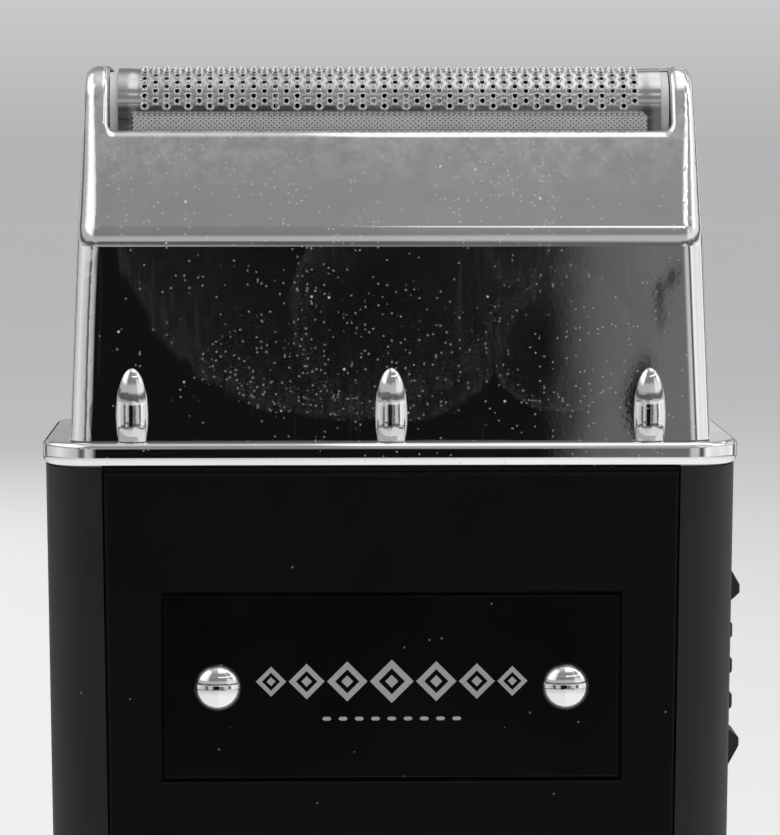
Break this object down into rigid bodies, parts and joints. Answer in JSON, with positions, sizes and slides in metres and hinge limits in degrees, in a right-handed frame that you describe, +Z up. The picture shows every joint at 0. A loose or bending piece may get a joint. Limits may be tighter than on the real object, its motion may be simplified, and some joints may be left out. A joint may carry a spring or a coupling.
{
  "type": "foil shaver",
  "caption": "Cordless two-foil barber shaver: black slab body with a side slide switch, and a chromed pull-off head over floating perforated foils.",
  "frame": {"origin": "centre of the flat bottom face", "axes": "+Z up the body through the foils, -Y towards the front face with the nameplate, +X towards the side switch"},
  "size_m": [0.0635, 0.0318, 0.1155],
  "materials": {
    "casing": "satin black moulded plastic",
    "panel": "fine satin black plastic",
    "plate": "gloss black",
    "chrome": "bright chrome plating",
    "foil_steel": "satin nickel steel",
    "steel": "machined steel",
    "screw": "blackened steel",
    "holder": "grey moulded plastic",
    "frame_plastic": "dark moulded plastic",
    "white_plastic": "white acetal",
    "spring": "spring wire",
    "motor_steel": "plated steel can",
    "magnet": "sintered ferrite",
    "copper": "enamelled copper",
    "brass": "turned brass",
    "felt": "oiled felt",
    "cell_wrap": "shrink wrap",
    "board": "solder mask",
    "chip": "moulded packages",
    "lens": "diffusing clear plastic",
    "led": "lamp package",
    "wire_red": "wire insulation",
    "wire_black": "wire insulation"
  },
  "bodies": {
    "housing": {"front_shell": "casing", "rear_shell": "casing", "bottom_cap": "casing", "front_panel": "panel", "rear_panel": "panel", "nameplate": "plate", "nameplate_rivets": "chrome", "bottom_cap_screws": "screw", "case_screws": "screw", "drive_deck": "frame_plastic", "deck_screws": "steel", "motor_can": "motor_steel", "motor_end_bell": "frame_plastic", "motor_magnets": "magnet", "motor_terminals": "brass", "motor_screws": "steel", "motor_bushings": "brass", "shaft_seal": "felt", "battery_cell": "cell_wrap", "battery_tabs": "steel", "battery_cradle": "frame_plastic", "circuit_board": "board", "circuit_components": "chip", "charge_socket": "steel", "indicator_led": "led", "led_lens": "lens", "switch_board": "board", "slide_switch_case": "steel", "red_wire": "wire_red", "black_wire": "wire_black", "flexure_legs": "spring", "flexure_screws": "steel"},
    "rotor": {"motor_shaft": "steel", "armature_core": "motor_steel", "armature_windings": "copper", "commutator": "copper", "eccentric_hub": "white_plastic", "eccentric_pin": "steel"},
    "oscillator": {"oscillator_bridge": "white_plastic", "drive_posts": "steel", "cutter_spring_front": "spring", "cutter_spring_rear": "spring"},
    "cutter_front": {"cutter_front_base": "frame_plastic", "cutter_front_blades": "steel"},
    "cutter_rear": {"cutter_rear_base": "frame_plastic", "cutter_rear_blades": "steel"},
    "head": {"head_shell": "chrome", "head_retainer": "frame_plastic", "retainer_screws": "steel", "foil_spring_front": "spring", "foil_spring_rear": "spring"},
    "foil_unit_front": {"foil_front": "foil_steel", "foil_holder_front": "holder"},
    "foil_unit_rear": {"foil_rear": "foil_steel", "foil_holder_rear": "holder"},
    "switch": {"switch_knob": "casing", "switch_carrier": "frame_plastic", "switch_lever": "white_plastic"}
  },
  "joints": [
    {"name": "switch_slide", "type": "slide", "parent": "housing", "child": "switch", "axis": [0, 0, 1], "range_m": [0, 0.004]},
    {"name": "motor_spin", "type": "hinge", "parent": "housing", "child": "rotor", "pos_m": [0, 0, 0.0845], "axis": [0, 0, 1], "continuous": true},
    {"name": "bridge_sweep", "type": "slide", "parent": "housing", "child": "oscillator", "axis": [1, 0, 0], "range_m": [-0.0009, 0.0009], "deforming": ["flexure_legs"]},
    {"name": "head_pull", "type": "slide", "parent": "housing", "child": "head", "axis": [0, 0, 1], "range_m": [0, 0.038]},
    {"name": "foil_front_float", "type": "slide", "parent": "head", "child": "foil_unit_front", "axis": [0, 0, 1], "range_m": [-0.001, 0], "deforming": ["foil_spring_front"]},
    {"name": "foil_rear_float", "type": "slide", "parent": "head", "child": "foil_unit_rear", "axis": [0, 0, 1], "range_m": [-0.001, 0], "deforming": ["foil_spring_rear"]},
    {"name": "cutter_front_float", "type": "slide", "parent": "oscillator", "child": "cutter_front", "axis": [0, 0, 1], "range_m": [-0.001, 0], "deforming": ["cutter_spring_front"]},
    {"name": "cutter_rear_float", "type": "slide", "parent": "oscillator", "child": "cutter_rear", "axis": [0, 0, 1], "range_m": [-0.001, 0], "deforming": ["cutter_spring_rear"]}
  ],
  "couplings": [
    {"joint": "cutter_front_float", "follows": "foil_front_float", "ratio": 1},
    {"joint": "cutter_rear_float", "follows": "foil_rear_float", "ratio": 1}
  ]
}
